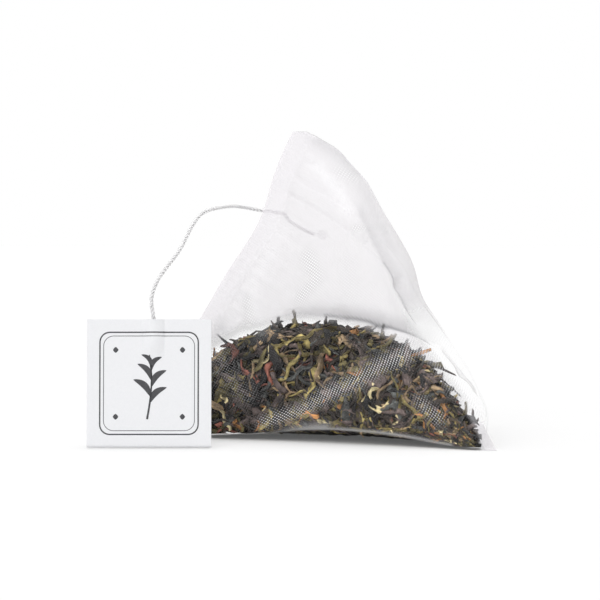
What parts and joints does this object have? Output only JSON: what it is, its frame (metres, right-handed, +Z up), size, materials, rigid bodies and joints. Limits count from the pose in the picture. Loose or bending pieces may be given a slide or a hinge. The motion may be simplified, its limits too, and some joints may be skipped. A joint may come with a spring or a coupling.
{
  "type": "tea bag",
  "caption": "Pyramid-shaped mesh tea bag filled with loose leaf tea, with a cotton string that arches over to a square folded card tag standing beside it",
  "frame": {"origin": "on the flat base, straight below the apex", "axes": "+Z up, +Y away from the viewer, +X towards the seal that lies on the floor"},
  "size_m": [0.068, 0.0569, 0.0519],
  "materials": {
    "woven_mesh": "fine see-through woven nylon, slight sheen",
    "dry_tea": "dry rolled leaf, matt",
    "dark_leaf": "dry rolled leaf, matt, near black",
    "olive_leaf": "dry rolled leaf, matt, olive",
    "tan_leaf": "dry rolled leaf and stem, matt, tan",
    "cotton_string": "white twisted cotton thread",
    "tag_card": "smooth white card"
  },
  "bodies": {
    "root": {"mesh_pouch": "woven_mesh", "tea_heap": "dry_tea", "leaf_01": "olive_leaf", "leaf_02": "tan_leaf", "leaf_03": "dark_leaf", "leaf_04": "olive_leaf", "leaf_05": "tan_leaf", "leaf_06": "dark_leaf", "leaf_07": "olive_leaf", "leaf_08": "tan_leaf", "leaf_09": "dark_leaf", "leaf_10": "olive_leaf", "leaf_11": "tan_leaf", "leaf_12": "dark_leaf", "leaf_13": "olive_leaf", "leaf_14": "tan_leaf", "leaf_15": "dark_leaf", "leaf_16": "olive_leaf", "leaf_17": "tan_leaf", "leaf_18": "dark_leaf", "leaf_19": "olive_leaf", "leaf_20": "tan_leaf", "leaf_21": "dark_leaf", "leaf_22": "olive_leaf", "leaf_23": "tan_leaf", "leaf_24": "dark_leaf", "leaf_25": "olive_leaf", "leaf_26": "tan_leaf", "stem_01": "olive_leaf", "stem_02": "tan_leaf", "stem_03": "dark_leaf", "stem_04": "olive_leaf", "stem_05": "tan_leaf", "stem_06": "dark_leaf", "stem_07": "olive_leaf", "stem_08": "tan_leaf", "stem_09": "dark_leaf", "stem_10": "olive_leaf", "stem_11": "tan_leaf", "stem_12": "dark_leaf", "stem_13": "olive_leaf", "stem_14": "tan_leaf", "stem_15": "dark_leaf", "stem_16": "olive_leaf", "string": "cotton_string", "string_tack": "woven_mesh", "tag": "tag_card"}
  },
  "joints": []
}
